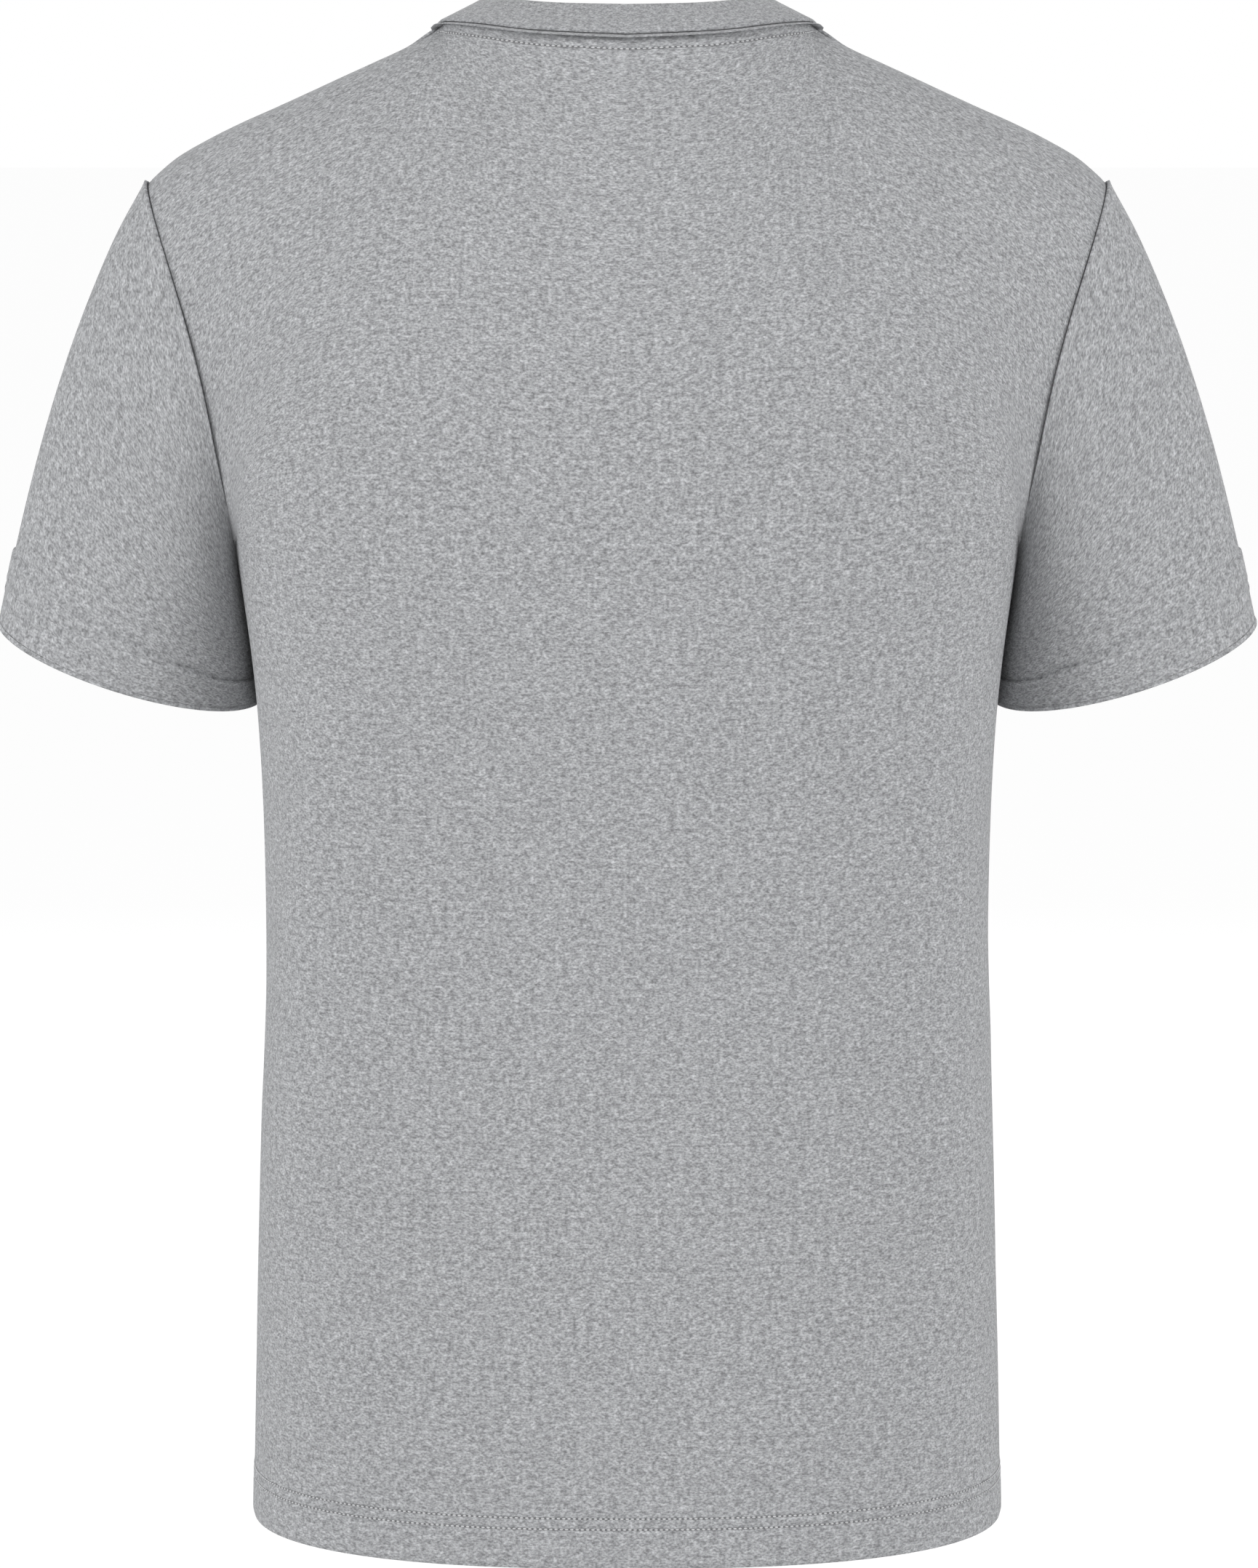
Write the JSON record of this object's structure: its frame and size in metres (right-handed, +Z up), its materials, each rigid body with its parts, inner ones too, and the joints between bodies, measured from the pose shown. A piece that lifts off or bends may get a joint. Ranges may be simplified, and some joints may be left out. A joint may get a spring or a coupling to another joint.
{
  "type": "v-neck t-shirt",
  "caption": "Short-sleeved V-neck T-shirt in heather grey jersey, filled out as when worn, hollow and open at the neck, hem, cuffs and armholes",
  "frame": {"origin": "midway between the two high points of the shoulders, where the shirt hangs from a wearer's shoulders and neck", "axes": "+Z up, -Y the side with the V-neck, +Y the back, +X the wearer's left"},
  "size_m": [0.6144, 0.2729, 0.741],
  "materials": {
    "jersey": "heather mid-grey single jersey, matt with a slight nap",
    "rib": "fine heather mid-grey knit, folded double, matt"
  },
  "bodies": {
    "root": {"back": "jersey", "front": "jersey", "sleeve_left": "jersey", "sleeve_right": "jersey", "neckband": "rib"}
  },
  "joints": []
}
